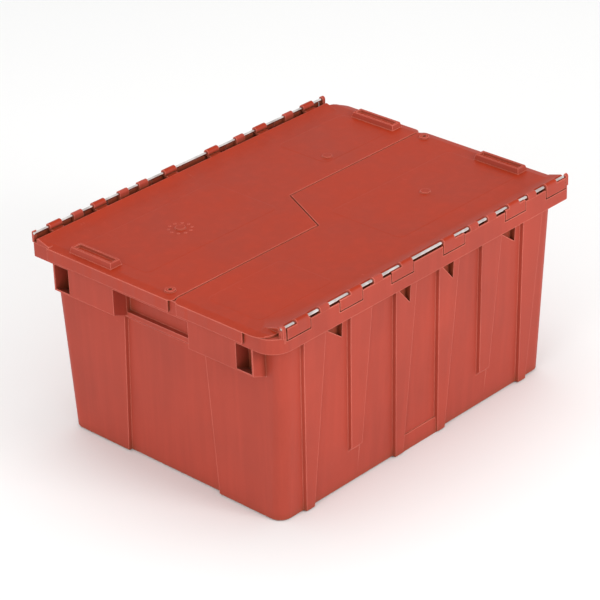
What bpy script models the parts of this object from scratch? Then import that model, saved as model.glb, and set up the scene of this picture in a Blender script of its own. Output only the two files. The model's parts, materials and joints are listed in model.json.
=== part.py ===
"""Attached lid tote: a nesting distribution tote with two hinged lid leaves.

Metres, +Z up, +X along the length, origin at the middle of the underside.
The tote is one moulding.  Each long side carries a steel wire rod, and a lid
leaf swings on it: up, over and down outside the wall.  The leaves meet in a
stepped seam, so the back leaf is the front leaf turned half a turn about Z.
"""

import math

import bmesh
import bpy
from mathutils import Matrix, Vector

# Driving dimensions of the tub
BASE_HALF_LENGTH = 0.3213
BASE_HALF_WIDTH = 0.2360
TOP_HALF_LENGTH = 0.3240
TOP_HALF_WIDTH = 0.2560
DRAFT_HEIGHT = 0.3060
TUB_TOP = 0.3390
WALL = 0.0030
FLOOR = 0.0035
TUB_CORNER = 0.022
BASE_CHAMFER = 0.002

# Pilasters on the long walls
PILASTER_CENTRES = (-0.2610, -0.1565, -0.0515, 0.0515, 0.1565, 0.2610)
SHORT_PILASTERS = (-0.1565, 0.1565)
PILASTER_TOP_WIDTH = 0.049
PILASTER_BASE_WIDTH = 0.018
PILASTER_DEPTH = 0.0065
PILASTER_FLANK = 0.0008
SHORT_PILASTER_FOOT = 0.062
PILASTER_FADE = 0.007
PILASTER_TOP = 0.3160

# Recessed field in the middle of each end wall
FIELD_TOP = 0.249
FIELD_TOP_HALF = 0.087
FIELD_BASE_HALF = 0.101
FIELD_DEPTH = 0.006
FIELD_FLANK = 0.002

# Foot pad between the two middle pilasters
FOOT_HALF_LENGTH = 0.043
FOOT_DEPTH = 0.0040
FOOT_HEIGHT = 0.030

# Rim band round the top; along the hinges its skin stands up as a lip under the rod
BAND_HALF_LENGTH = 0.3510
BAND_HALF_WIDTH = 0.2650
BAND_FOOT = 0.3140
RIM_TOP = 0.3400
LIP_TOP = 0.3505
LIP_START = -0.3315
LIP_RETURN = 0.2285
ROUND_CORNER = 0.035
SQUARE_CORNER = 0.006
RIM_INNER_LENGTH = 0.3195
RIM_INNER_WIDTH = 0.2535

# Hand-holds: proud boxes on each side of a finger slot under the rim, then a pocket and a fin
HOLD_FRONT_FOOT = 0.2680
HOLD_BACK_FOOT = 0.2565
HOLD_BOX_INNER = 0.082
HOLD_BOX_OUTER = 0.184
HOLD_FIN = 0.219
HOLD_SKIN = 0.0030
HOLD_ROOT = 0.3222
SLOT_DEPTH = 0.0080
SLOT_HALF = 0.0790
SLOT_FOOT = 0.2620
SLOT_RISE = 0.0030
SLOT_TOP = 0.3335
SLOT_START = 0.0035
WELL_OVERRUN = 0.0010

# Triangular pockets under the band: centre, width
POCKETS = ((-0.2140, 0.042), (-0.0560, 0.027), (0.0480, 0.027), (0.2025, 0.042))
POCKET_TOP = 0.3135
POCKET_DROP = 0.031
POCKET_DEPTH = 0.011
POCKET_SKIN = 0.0025
POCKET_LAP = 0.0022
POCKET_OVERRUN = 0.0060

# Hinges
AXIS_Y = 0.2600
AXIS_Z = 0.3545
ROD_RADIUS = 0.0024
ROD_START = -0.3305
ROD_END = 0.3500
POST_RADIUS = 0.0048
POST_BORE = 0.0027
POST_WIDTH = 0.020
END_POST_INSIDE = 0.0060
END_POST_OUTSIDE = 0.0005
POSTS = (-0.2390, -0.1180, 0.1110, 0.1550, 0.2570)
BARREL_RADIUS = 0.0056
BARREL_BORE = 0.0028
BARREL_WIDTH = 0.026
BRIDGE_INSET = 0.001
BRIDGE_ROOT = 0.004
BRIDGE_FOOT = 0.3465
BRIDGE_TOP = 0.3502
STRAP_WIDTH = 0.050
# Strap centre and barrel centre along the front rod
STRAPS = ((-0.2970, -0.2880), (-0.1810, -0.1690), (-0.0630, -0.0520),
          (0.0600, 0.0490), (0.2130, 0.2100), (0.3175, 0.3060))
FLAP_INNER = 0.0026
FLAP_DROP = 0.0185
FLAP_LAP = 0.0005
SWING_RADIUS = 0.0208
SWING_SIDE_GAP = 0.0010
SEAT_INSET = 0.0010
FLAP_END = 0.3430

# Lid leaf
LEAF_TOP = 0.3440
LEAF_FOOT = 0.3405
LEAF_HALF_LENGTH = 0.3555
LEAF_SHOULDER = 0.3455
LEAF_SHOULDER_FOOT = 0.3412
SHOULDER_SQUEEZE = 0.12
LEAF_EDGE = 0.2500
SEAM_OFFSET = 0.0545
SEAM_HALF_RUN = 0.0255
SEAM_HALF_GAP = 0.0010
SEAM_CORNER = 0.012
LEAF_ROUND_CORNER = 0.030
LEAF_NOTCH_Y = 0.2260
LEAF_NOTCH_X = 0.3466
CROWN_INNER = 0.2360
CROWN_RIDGE = 0.2470
CROWN_TOP = 0.3510
CROWN_OUTER_TOP = 0.3495
LEAF_LAP = 0.0004
SKIRT_FOOT = 0.3205
SKIRT = 0.0032
SKIRT_SEAM_GAP = 0.009
SKIRT_ROUND_END = 0.2030

# Details moulded on the leaf: lug frames, eyelet and buttons
LUG_X = 0.3320
LUG_Y = 0.1370
LUG_LENGTH = 0.094
LUG_WIDTH = 0.024
LUG_WALL = 0.0050
LUG_DRAFT = 0.0020
LUG_HEIGHT = 0.0090
LUG_WELL = 0.0045
EYELET = (0.3340, 0.0310)
EYELET_RADIUS = 0.0085
EYELET_BORE = 0.0035
EYELET_HEIGHT = 0.0028
BUTTON_X = 0.1740
BUTTON_Y = 0.1080
BUTTON_RADIUS = 0.0070
BUTTON_HEIGHT = 0.0015

# Length by which a cutter runs past what it cuts
CUT_CLEAR = 0.010

ARC_STEPS = 6
# Linear colours
BODY_RED = (0.42, 0.045, 0.025)
LID_RED = (0.40, 0.035, 0.018)

HALF_TURN = Matrix.Diagonal((-1.0, -1.0, 1.0, 1.0))
NO_TURN = Matrix.Identity(4)


# Scene helpers

def clear_scene():
    for obj in list(bpy.data.objects):
        bpy.data.objects.remove(obj, do_unlink=True)


def plastic(name, colour):
    material = bpy.data.materials.new(name)
    material.use_nodes = True
    shader = material.node_tree.nodes["Principled BSDF"]
    shader.inputs["Base Color"].default_value = (*colour, 1.0)
    shader.inputs["Roughness"].default_value = 0.42
    return material


def steel(name):
    material = plastic(name, (0.36, 0.35, 0.34))
    shader = material.node_tree.nodes["Principled BSDF"]
    shader.inputs["Metallic"].default_value = 1.0
    shader.inputs["Roughness"].default_value = 0.3
    return material


def mesh_object(name, bm, collection, origin=(0.0, 0.0, 0.0)):
    """An object from a bmesh made in world coordinates, with its origin where asked."""
    bmesh.ops.recalc_face_normals(bm, faces=bm.faces)
    bm.transform(Matrix.Translation(-Vector(origin)))
    mesh = bpy.data.meshes.new(name)
    bm.to_mesh(mesh)
    bm.free()
    obj = bpy.data.objects.new(name, mesh)
    obj.location = origin
    collection.objects.link(obj)
    return obj


def helper_collection(name):
    collection = bpy.data.collections.new(name)
    collection.hide_render = True
    bpy.context.scene.collection.children.link(collection)
    return collection


def helper(name, bm, collection, turn=NO_TURN):
    """A shape that a Boolean joins or cuts; it is never a part of its own."""
    bm.transform(turn)
    obj = mesh_object(name, bm, collection)
    obj.hide_render = True
    obj.display_type = "WIRE"
    return obj


def finish_part(obj, material, joined, cut, smooth_angle):
    obj.data.materials.append(material)
    for name, operation, collection in (("joined", "UNION", joined), ("cut", "DIFFERENCE", cut)):
        modifier = obj.modifiers.new(name, "BOOLEAN")
        modifier.operation = operation
        modifier.operand_type = "COLLECTION"
        modifier.collection = collection
        modifier.solver = "EXACT"
    obj.data.shade_smooth()
    obj.data.set_sharp_from_angle(angle=math.radians(smooth_angle))


# Mesh builders

def loft(rings, closed=False):
    """A skin through rings of equally many points; its ends are capped unless it closes on itself."""
    bm = bmesh.new()
    rows = [[bm.verts.new(point) for point in ring] for ring in rings]
    pairs = list(zip(rows, rows[1:]))
    if closed:
        pairs.append((rows[-1], rows[0]))
    for low, high in pairs:
        for i in range(len(low)):
            j = (i + 1) % len(low)
            bm.faces.new((low[i], low[j], high[j], high[i]))
    if not closed:
        bm.faces.new(list(reversed(rows[0])))
        bm.faces.new(rows[-1])
    return bm


def prism_z(outline, low, high):
    return loft([[(x, y, z) for x, y in outline] for z in (low, high)])


def prism_x(outline, start, end):
    """An outline of (y, z) points swept along X."""
    return loft([[(x, y, z) for y, z in outline] for x in (start, end)])


def block(x0, x1, y0, y1, z0, z1):
    return prism_z([(x0, y0), (x1, y0), (x1, y1), (x0, y1)], z0, z1)


def arc(cx, cy, radius, start, end, steps=ARC_STEPS):
    """Points on an arc, with the angles in degrees."""
    points = []
    for i in range(steps + 1):
        angle = math.radians(start + (end - start) * i / steps)
        points.append((cx + radius * math.cos(angle), cy + radius * math.sin(angle)))
    return points


def disc(cx, cy, radius, steps=24):
    return arc(cx, cy, radius, 0, 360 * (steps - 1) / steps, steps - 1)


def rounded_box(half_x, half_y, round_radius, square_radius):
    """A rectangle whose (-,-) and (+,+) corners have one radius and the others another."""
    points = []
    corners = ((1, -1, -90, square_radius), (1, 1, 0, round_radius),
               (-1, 1, 90, square_radius), (-1, -1, 180, round_radius))
    for sx, sy, start, radius in corners:
        points += arc(sx * (half_x - radius), sy * (half_y - radius), radius, start, start + 90)
    return points


def at_height(points, z):
    return [(x, y, z) for x, y in points]


# Tub

def blend(low, high, share):
    return low + (high - low) * share


def tub_outline(z, inset, pilaster_depth, short_depth, field_depth):
    """The tub's section at one height, going round anticlockwise from the front wall."""
    share = z / DRAFT_HEIGHT
    half_x = blend(BASE_HALF_LENGTH, TOP_HALF_LENGTH, share) - inset
    half_y = blend(BASE_HALF_WIDTH, TOP_HALF_WIDTH, share) - inset
    width = blend(PILASTER_BASE_WIDTH, PILASTER_TOP_WIDTH, min(share, 1.0)) / 2 - inset
    field = blend(FIELD_BASE_HALF, FIELD_TOP_HALF, min(z / FIELD_TOP, 1.0)) + inset
    half = []
    for centre in PILASTER_CENTRES:
        depth = short_depth if centre in SHORT_PILASTERS else pilaster_depth
        half.append((centre - width - PILASTER_FLANK, -half_y))
        half.append((centre - width, -half_y - depth))
        half.append((centre + width, -half_y - depth))
        half.append((centre + width + PILASTER_FLANK, -half_y))
    radius = TUB_CORNER - inset
    half += arc(half_x - radius, radius - half_y, radius, -90, 0)
    half.append((half_x, -field - FIELD_FLANK))
    half.append((half_x - field_depth, -field))
    half.append((half_x - field_depth, field))
    half.append((half_x, field + FIELD_FLANK))
    half += arc(half_x - radius, half_y - radius, radius, 0, 90)
    # The back wall and the left end are the same outline turned half a turn.
    return half + [(-x, -y) for x, y in half]


def tub():
    """Outer skin from the base up to the rim, then the inner skin back down to the floor."""
    depth = PILASTER_DEPTH
    fade = PILASTER_FADE
    field = FIELD_DEPTH
    levels = (
        (BASE_CHAMFER, depth, 0.0, field),
        (SHORT_PILASTER_FOOT, depth, 0.0, field),
        (SHORT_PILASTER_FOOT + fade, depth, depth, field),
        (FIELD_TOP, depth, depth, field),
        (FIELD_TOP + fade, depth, depth, 0.0),
        (PILASTER_TOP, depth, depth, 0.0),
        (PILASTER_TOP + fade, 0.0, 0.0, 0.0),
        (TUB_TOP, 0.0, 0.0, 0.0),
    )
    rings = [at_height(tub_outline(BASE_CHAMFER, BASE_CHAMFER, depth, 0.0, field), 0.0)]
    rings += [at_height(tub_outline(z, 0.0, d, s, f), z) for z, d, s, f in levels]
    inner = [at_height(tub_outline(z, WALL, d, s, f), z) for z, d, s, f in levels[1:]]
    rings += list(reversed(inner))
    rings.append(at_height(tub_outline(FLOOR, WALL, depth, 0.0, field), FLOOR))
    return loft(rings)


# Body additions and cuts

def foot_pad():
    face = -BASE_HALF_WIDTH - FOOT_DEPTH
    return block(-FOOT_HALF_LENGTH, FOOT_HALF_LENGTH, face, face + FOOT_DEPTH + WALL / 2, 0.0, FOOT_HEIGHT)


def band():
    """The rim: an outer skin with a lip, and a top plate that reaches in over the tub's wall."""
    outer = rounded_box(BAND_HALF_LENGTH, BAND_HALF_WIDTH, ROUND_CORNER, SQUARE_CORNER)
    back = rounded_box(BAND_HALF_LENGTH - WALL, BAND_HALF_WIDTH - WALL,
                       ROUND_CORNER - WALL, SQUARE_CORNER - WALL)
    inner = rounded_box(RIM_INNER_LENGTH, RIM_INNER_WIDTH, TUB_CORNER, TUB_CORNER)
    plate = RIM_TOP - WALL
    profile = ((outer, BAND_FOOT), (outer, LIP_TOP), (back, LIP_TOP), (back, RIM_TOP),
               (inner, RIM_TOP), (inner, plate), (back, plate), (back, BAND_FOOT))
    return loft([at_height(points, z) for points, z in profile], closed=True)


def end_room():
    """What the lip leaves free at one end, so that the lid's skirt can close over the rim."""
    return block(-BAND_HALF_LENGTH - CUT_CLEAR, LIP_START, -BAND_HALF_WIDTH - CUT_CLEAR, LIP_RETURN,
                 RIM_TOP, LIP_TOP + CUT_CLEAR)


def slanted(front, root, front_foot, back_foot, top, y0, y1):
    """A block on an end wall whose underside slopes from its front down to the wall."""
    outline = [(front, top), (front, front_foot), (root, back_foot), (root, top)]
    return loft([[(x, y, z) for x, z in outline] for y in (y0, y1)])


def add_hand_hold(joined, cut, turn):
    """Hand-hold of the end at -X."""
    front = -BAND_HALF_LENGTH
    root = -HOLD_ROOT
    slope = (HOLD_FRONT_FOOT - HOLD_BACK_FOOT) / (root - front)
    skin = HOLD_SKIN * math.hypot(1.0, slope)
    top = RIM_TOP - WALL / 2
    well_end = -RIM_INNER_LENGTH + WELL_OVERRUN
    for side in (-1, 1):
        y0, y1 = sorted((side * HOLD_BOX_INNER, side * HOLD_BOX_OUTER))
        box = slanted(front, root, HOLD_FRONT_FOOT, HOLD_BACK_FOOT, top, y0, y1)
        helper("hold_box", box, joined, turn)
        well = slanted(front + HOLD_SKIN, well_end, HOLD_FRONT_FOOT + skin - slope * HOLD_SKIN,
                       HOLD_FRONT_FOOT + skin - slope * (well_end - front), LIP_TOP + CUT_CLEAR,
                       y0 + HOLD_SKIN, y1 - HOLD_SKIN)
        helper("hold_well", well, cut, turn)
        y0, y1 = sorted((side * (HOLD_BOX_OUTER - HOLD_SKIN / 2), side * HOLD_FIN))
        floor = [(front, HOLD_FRONT_FOOT + skin), (front, HOLD_FRONT_FOOT),
                 (root, HOLD_BACK_FOOT), (root, HOLD_BACK_FOOT + skin)]
        helper("pocket_floor", loft([[(x, y, z) for x, z in floor] for y in (y0, y1)]), joined, turn)
        y0, y1 = sorted((side * (HOLD_FIN - HOLD_SKIN), side * HOLD_FIN))
        fin = slanted(front, root, HOLD_FRONT_FOOT, HOLD_BACK_FOOT, top, y0, y1)
        helper("fin", fin, joined, turn)
    back = -TOP_HALF_LENGTH + SLOT_DEPTH
    housing = block(root, back + WALL, -SLOT_HALF - WALL, SLOT_HALF + WALL, SLOT_FOOT - WALL, top)
    helper("slot_housing", housing, joined, turn)
    slot = slanted(front + SLOT_START, back, SLOT_FOOT, SLOT_FOOT + SLOT_RISE, SLOT_TOP,
                   -SLOT_HALF, SLOT_HALF)
    helper("slot", slot, cut, turn)


def plain_wall(z):
    """Y of the front wall's plain face at this height."""
    return -blend(BASE_HALF_WIDTH, TOP_HALF_WIDTH, z / DRAFT_HEIGHT)


def add_pockets(joined, cut, turn):
    """Triangular pockets under the band, with a housing behind each so the wall stays closed."""
    face = -BAND_HALF_WIDTH - CUT_CLEAR
    for centre, width in POCKETS:
        on_pilaster = any(abs(centre - c) < PILASTER_TOP_WIDTH / 2 for c in PILASTER_CENTRES)
        outside = plain_wall(POCKET_TOP) - (PILASTER_DEPTH if on_pilaster else 0.0)
        floor = outside + POCKET_DEPTH
        side = width / 2 + POCKET_SKIN
        low = POCKET_TOP - POCKET_DROP - POCKET_SKIN * 2
        housing = block(centre - side, centre + side, outside + POCKET_LAP, floor + POCKET_SKIN,
                        low, POCKET_TOP + POCKET_OVERRUN)
        helper("pocket_housing", housing, joined, turn)
        x0 = centre - width / 2
        x1 = centre + width / 2
        ring = [(x0, POCKET_TOP), (x1, POCKET_TOP - POCKET_DROP), (x1, POCKET_TOP)]
        rows = [[(x, y, z) for x, z in ring] for y in (face, floor)]
        helper("pocket", loft(rows), cut, turn)


def hinge_post(start, end):
    """An upright on the rim, behind the lip, with a round head about the hinge axis (front side)."""
    head = arc(-AXIS_Y, AXIS_Z, POST_RADIUS, 0, 180, 8)
    outline = [(-AXIS_Y - POST_RADIUS, RIM_TOP - WALL / 2), (-AXIS_Y + POST_RADIUS, RIM_TOP - WALL / 2)]
    return prism_x(outline + head, start, end)


def rod_cylinder(radius, start, end, steps=16):
    return prism_x(disc(-AXIS_Y, AXIS_Z, radius, steps), start, end)


def add_hinge_side(joined, cut, turn):
    for centre in POSTS:
        post = hinge_post(centre - POST_WIDTH / 2, centre + POST_WIDTH / 2)
        helper("hinge_post", post, joined, turn)
    helper("end_post", hinge_post(ROD_START - END_POST_OUTSIDE, ROD_START + END_POST_INSIDE), joined, turn)
    helper("end_post", hinge_post(ROD_END - END_POST_INSIDE, ROD_END + END_POST_OUTSIDE), joined, turn)
    helper("rod_bore", rod_cylinder(POST_BORE, ROD_START - CUT_CLEAR, ROD_END + CUT_CLEAR), cut, turn)
    for centre, _ in STRAPS:
        half = STRAP_WIDTH / 2 + SWING_SIDE_GAP
        end = min(centre + half, ROD_END - END_POST_INSIDE)
        seat = block(centre - half - WALL, end + WALL, -BAND_HALF_WIDTH + SEAT_INSET,
                     -TOP_HALF_WIDTH, AXIS_Z - SWING_RADIUS - WALL, RIM_TOP - SEAT_INSET)
        helper("strap_seat", seat, joined, turn)
        helper("swing_room", rod_cylinder(SWING_RADIUS, centre - half, end, 32), cut, turn)


def tote_body(material):
    joined = helper_collection("body_joined")
    cut = helper_collection("body_cut")
    helper("band", band(), joined)
    for turn in (NO_TURN, HALF_TURN):
        helper("end_room", end_room(), cut, turn)
        helper("foot_pad", foot_pad(), joined, turn)
        add_hand_hold(joined, cut, turn)
        add_pockets(joined, cut, turn)
        add_hinge_side(joined, cut, turn)
    body = mesh_object("tote_body", tub(), bpy.context.scene.collection)
    finish_part(body, material, joined, cut, 30)


# Lid leaves (drawn on the front side, turned for the back)

def leaf_outline():
    slant = math.hypot(SEAM_HALF_RUN, SEAM_OFFSET)
    shift = SEAM_HALF_GAP * (slant - SEAM_HALF_RUN) / SEAM_OFFSET
    far = SEAM_OFFSET - SEAM_HALF_GAP
    near = -SEAM_OFFSET - SEAM_HALF_GAP
    end = LEAF_HALF_LENGTH
    corner = LEAF_ROUND_CORNER
    points = arc(corner - end, corner - LEAF_EDGE, corner, 180, 270)
    points += [(LEAF_NOTCH_X, -LEAF_EDGE), (LEAF_NOTCH_X, -LEAF_NOTCH_Y), (end, -LEAF_NOTCH_Y)]
    points += arc(end - SEAM_CORNER, far - SEAM_CORNER, SEAM_CORNER, 0, 90)
    points += [(SEAM_HALF_RUN + shift, far), (shift - SEAM_HALF_RUN, near)]
    points += arc(SEAM_CORNER - end, near - SEAM_CORNER, SEAM_CORNER, 90, 180)
    return points


def shoulder(x):
    """Where a point of the leaf's outline stands at the plate's top."""
    beyond = max(0.0, abs(x) - LEAF_SHOULDER)
    return math.copysign(abs(x) - beyond * (1 - SHOULDER_SQUEEZE), x)


def leaf_plate():
    """The flat plate, with its top sloping down to a thin lip at both ends."""
    edge = leaf_outline()
    plateau = [(shoulder(x), y) for x, y in edge]
    rings = ((edge, LEAF_FOOT), (edge, LEAF_SHOULDER_FOOT), (plateau, LEAF_TOP))
    return loft([at_height(points, z) for points, z in rings])


def add_leaf_shell(joined, turn):
    """End skirts and the raised crown along the hinge."""
    end = LEAF_HALF_LENGTH
    low = -SEAM_OFFSET - SKIRT_SEAM_GAP
    high = SEAM_OFFSET - SKIRT_SEAM_GAP
    top = LEAF_SHOULDER_FOOT - LEAF_LAP
    near = block(-end, SKIRT - end, -SKIRT_ROUND_END, low, SKIRT_FOOT, top)
    helper("skirt_near", near, joined, turn)
    far = block(end - SKIRT, end, -LEAF_NOTCH_Y, high, SKIRT_FOOT, top)
    helper("skirt_far", far, joined, turn)
    crown = [(-LEAF_EDGE, LEAF_FOOT + LEAF_LAP), (-CROWN_INNER, LEAF_FOOT + LEAF_LAP),
             (-CROWN_INNER, LEAF_TOP - LEAF_LAP), (-CROWN_RIDGE, CROWN_TOP), (-LEAF_EDGE, CROWN_OUTER_TOP)]
    helper("crown", prism_x(crown, LEAF_ROUND_CORNER - end, LEAF_NOTCH_X), joined, turn)


def add_straps(joined, cut, turn):
    """Each strap is a bridge from the crown, a barrel round the rod and a flap outside the rim."""
    for centre, barrel in STRAPS:
        start = barrel - BARREL_WIDTH / 2
        end = barrel + BARREL_WIDTH / 2
        bridge = block(start + BRIDGE_INSET, end - BRIDGE_INSET, -AXIS_Y, -LEAF_EDGE + BRIDGE_ROOT,
                       BRIDGE_FOOT, BRIDGE_TOP)
        helper("bridge", bridge, joined, turn)
        helper("barrel", rod_cylinder(BARREL_RADIUS, start, end, 24), joined, turn)
        inner = -AXIS_Y - FLAP_INNER
        outer = -AXIS_Y - BARREL_RADIUS
        flap = block(centre - STRAP_WIDTH / 2, min(centre + STRAP_WIDTH / 2, FLAP_END),
                     outer, inner, AXIS_Z - FLAP_DROP, AXIS_Z - FLAP_LAP)
        helper("flap", flap, joined, turn)
    helper("barrel_bore", rod_cylinder(BARREL_BORE, ROD_START, ROD_END), cut, turn)


def add_lug(joined, cut, side, turn):
    """A raised oblong frame that keys the tote stacked above; side is -1 near, 1 far."""
    x = side * LUG_X
    top = LEAF_TOP + LUG_HEIGHT

    def ring(inset, z):
        half_x = LUG_WIDTH / 2 - inset
        half_y = LUG_LENGTH / 2 - inset
        corners = ((-1, -1), (1, -1), (1, 1), (-1, 1))
        return [(x + sx * half_x, sy * half_y - LUG_Y, z) for sx, sy in corners]

    foot = LEAF_SHOULDER_FOOT + 2 * LEAF_LAP
    helper("lug", loft([ring(0.0, foot), ring(0.0, LEAF_TOP), ring(LUG_DRAFT, top)]), joined, turn)
    well = loft([ring(LUG_WALL + LUG_DRAFT, top - LUG_WELL), ring(LUG_WALL, top + LUG_DRAFT)])
    helper("lug_well", well, cut, turn)


def lid_leaf(name, material, turn, lugs, buttons):
    joined = helper_collection(name + "_joined")
    cut = helper_collection(name + "_cut")
    add_leaf_shell(joined, turn)
    add_straps(joined, cut, turn)
    for side in lugs:
        add_lug(joined, cut, side, turn)
    for side in buttons:
        button = prism_z(disc(side * BUTTON_X, -BUTTON_Y, BUTTON_RADIUS), LEAF_TOP - LEAF_LAP,
                         LEAF_TOP + BUTTON_HEIGHT)
        helper("button", button, joined, turn)
    ex, ey = EYELET
    ring = prism_z(disc(ex, ey, EYELET_RADIUS), LEAF_TOP - LEAF_LAP, LEAF_TOP + EYELET_HEIGHT)
    helper("eyelet", ring, joined, turn)
    bore = prism_z(disc(ex, ey, EYELET_BORE, 16), LEAF_FOOT - CUT_CLEAR, LEAF_TOP + CUT_CLEAR)
    helper("eyelet_bore", bore, cut, turn)
    plate = leaf_plate()
    plate.transform(turn)
    origin = turn @ Vector((0.0, -AXIS_Y, AXIS_Z))
    leaf = mesh_object(name, plate, bpy.context.scene.collection, origin)
    finish_part(leaf, material, joined, cut, 30)


def hinge_rod(name, material, turn):
    rod = rod_cylinder(ROD_RADIUS, ROD_START, ROD_END, 20)
    rod.transform(turn)
    origin = turn @ Vector((0.0, -AXIS_Y, AXIS_Z))
    obj = mesh_object(name, rod, bpy.context.scene.collection, origin)
    obj.data.materials.append(material)
    obj.data.shade_smooth()
    obj.data.set_sharp_from_angle(angle=math.radians(30))


def main():
    clear_scene()
    tote_body(plastic("body_red", BODY_RED))
    lid_leaf("lid_front", plastic("front_lid_red", LID_RED), NO_TURN, lugs=(1,), buttons=(1,))
    lid_leaf("lid_back", plastic("back_lid_red", LID_RED), HALF_TURN, lugs=(-1, 1), buttons=(-1, 1))
    hinge_rod("hinge_rod_front", steel("front_rod_steel"), NO_TURN)
    hinge_rod("hinge_rod_back", steel("back_rod_steel"), HALF_TURN)


main()
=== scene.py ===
"""The attached lid tote in detail: the moulded tub, two lid leaves and two hinge rods, with their
materials, the camera and the studio. Lengths are in metres, angles in degrees unless said otherwise."""

import json
import math

import bmesh
import bpy
from mathutils import Matrix, Vector

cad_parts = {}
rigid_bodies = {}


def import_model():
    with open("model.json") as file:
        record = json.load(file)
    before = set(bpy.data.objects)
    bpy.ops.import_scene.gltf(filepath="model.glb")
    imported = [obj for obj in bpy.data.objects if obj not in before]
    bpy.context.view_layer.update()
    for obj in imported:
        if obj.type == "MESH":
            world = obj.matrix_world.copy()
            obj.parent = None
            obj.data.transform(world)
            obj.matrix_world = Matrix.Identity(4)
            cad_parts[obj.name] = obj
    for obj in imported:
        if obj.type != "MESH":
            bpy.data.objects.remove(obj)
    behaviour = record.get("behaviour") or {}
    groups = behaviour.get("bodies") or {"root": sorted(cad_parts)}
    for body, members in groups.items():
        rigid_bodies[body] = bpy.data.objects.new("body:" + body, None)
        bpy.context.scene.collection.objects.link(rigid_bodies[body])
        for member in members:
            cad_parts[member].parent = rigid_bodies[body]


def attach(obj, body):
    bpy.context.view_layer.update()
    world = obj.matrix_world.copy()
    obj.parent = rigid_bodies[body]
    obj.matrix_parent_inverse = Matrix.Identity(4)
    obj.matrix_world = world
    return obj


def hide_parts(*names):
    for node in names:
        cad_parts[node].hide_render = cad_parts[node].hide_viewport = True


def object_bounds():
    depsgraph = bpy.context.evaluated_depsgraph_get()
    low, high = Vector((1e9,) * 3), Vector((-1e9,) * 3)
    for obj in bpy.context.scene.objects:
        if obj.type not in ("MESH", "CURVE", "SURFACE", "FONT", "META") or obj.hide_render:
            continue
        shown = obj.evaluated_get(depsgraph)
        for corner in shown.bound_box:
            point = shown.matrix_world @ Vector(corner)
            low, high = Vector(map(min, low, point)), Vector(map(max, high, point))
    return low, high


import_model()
CAD_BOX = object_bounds()

# Camera: where it stands, the point that it looks at, and its lens and sensor in millimetres
AZIMUTH = -46.18
ELEVATION = 28.11
ROLL = -2.01
TARGET = Vector((0.0168, 0.0322, 0.1614))
DISTANCE = 4.403
LENS = 159.55
SENSOR = 36.0

# Linear colours
# LID_RED goes on the lid's up-facing faces and BODY_RED on its sides, a painted shade that makes the lid's
# top darker than its sides
LID_RED = (0.362, 0.025, 0.003)
BODY_RED = (0.400, 0.056, 0.034)
# Brown painted shade, laid by ambient occlusion into recesses and under overhangs
PAINTED_SHADE_BROWN = (0.190, 0.050, 0.016)
SCUFF_PINK = (0.52, 0.10, 0.07)
# Pale pink painted highlight laid along rounded edges
EDGE_HIGHLIGHT_PINK = (0.80, 0.24, 0.18)
MOTTLE_DARK = (0.90, 0.90, 0.90)
MOTTLE_PALE = (1.08, 1.08, 1.08)
STREAK_GAIN = 1.22
WIRE_DARK = (0.60, 0.54, 0.52)
WIRE_PALE = (0.86, 0.82, 0.80)
FLOOR_COLOUR = (0.90, 0.90, 0.895)
WHITE = (1.0, 1.0, 1.0)

# Plastic: noise scales, how far the painted edge highlights and the painted recess shade reach, and its
# surface
MOTTLE_SCALE = 7.0
STREAK_SCALE = 60.0
GRAIN_SCALE = 900.0
SCUFF_SCALE = 210.0
SCUFF_PATCH_SCALE = 16.0
STREAK_STRETCH = (1.0, 1.0, 0.06)
SCUFF_STRETCH = (1.0, 0.25, 0.6)
EDGE_REACH = 0.0024
PAINTED_SHADE_REACH = 0.030
STREAK_RELIEF = 0.4
SCUFF_ROUGHNESS = 0.25
PLASTIC_BUMP = 0.35
PLASTIC_BUMP_DEPTH = 0.00025
PLASTIC_IOR = 1.5
PLASTIC_SHEEN = 0.02
PLASTIC_SHEEN_ROUGHNESS = 0.45
PLASTIC_SPECULAR = 0.16
BODY_GRAIN = 0.5
BODY_GLOSS = 0.50
LID_GRAIN = 0.8
LID_GLOSS = 0.46

# Hinge wire: draw lines run along X
WIRE_LINE_SCALE = 900.0
WIRE_PATCH_SCALE = 45.0
WIRE_STRETCH = (0.03, 1.0, 1.0)
WIRE_BUMP = 0.3
WIRE_BUMP_DEPTH = 0.0001

# Studio: light height aimed at, floor size and drop, and for each light its place, width and watts
AIM_HEIGHT = 0.17
FLOOR_HALF = 12.0
FLOOR_DROP = 0.0005
FLOOR_ROUGHNESS = 0.9
WORLD_STRENGTH = 0.85
LIGHTS = (
    ("key", (0.6, -3.6, 1.9), 1.6, 56.0),
    ("fill", (-3.6, -0.8, 1.7), 2.0, 36.0),
    ("top", (0.3, 0.6, 3.4), 2.4, 20.0),
)

# Rounding of the mouldings' edges; the middle point of a rounding stands at a share of its run
EDGE = 0.0006
ROD_EDGE = 0.0005
BAND_ROUND = 0.0009
PLATE_ROUND = 0.0011
SHOULDER_RUN = 0.0080
PILASTER_ROUND = 0.0011
MIDDLE_SHARE = 0.3
PILASTER_SHARE = 6
MITRE_LIMIT = 0.4
BEVEL_ANGLE = math.radians(34)
BEVEL_SEGMENTS = 2
SMOOTH_ANGLE = math.radians(40)
WELD_GAP = 0.00001
NORMAL_WEIGHT = 90
LEFT_SHARP = ("end_room", "rod_bore", "swing_room", "barrel_bore", "eyelet_bore")

# Shallow trim on the leaves: pads (x from, x to, y from, y to) on the front leaf, and dots round a button
PAD_HEIGHT = 0.0004
PAD_CORNER = 0.012
PAD_BORDER = 0.0025
PADS = ((0.021, 0.318, -0.188, -0.036), (-0.318, -0.152, -0.204, -0.091))
DOT_RADIUS = 0.0022
DOT_RING = 0.0190
DOT_COUNT = 10
DOT_HEIGHT = 0.0006

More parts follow.
